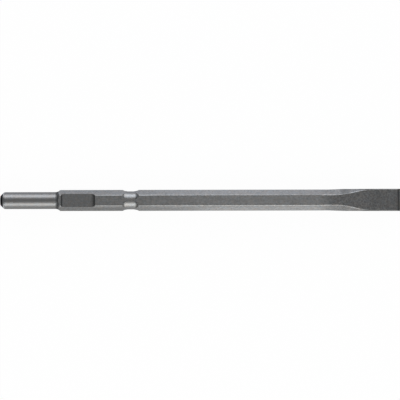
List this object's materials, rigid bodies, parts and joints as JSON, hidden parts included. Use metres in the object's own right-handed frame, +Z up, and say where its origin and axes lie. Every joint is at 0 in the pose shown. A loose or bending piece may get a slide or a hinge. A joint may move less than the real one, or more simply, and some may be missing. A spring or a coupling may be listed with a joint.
{
  "type": "hex shank flat chisel",
  "caption": "Flat demolition chisel forged from hexagon bar: round striking tail, notched and necked hexagon shank, wedge blade with a ground straight edge.",
  "frame": {"origin": "middle of the chisel's length and width, on the floor that it lies on", "axes": "+X along the tool from the striking face to the cutting edge, +Z up through the notched flat"},
  "size_m": [0.45, 0.025, 0.021],
  "materials": {
    "steel": "satin steel: turned bright on tail and neck, drawn grey on the hexagon, dull forged skin on the blade"
  },
  "bodies": {
    "root": {"flat_chisel": "steel"}
  },
  "joints": []
}
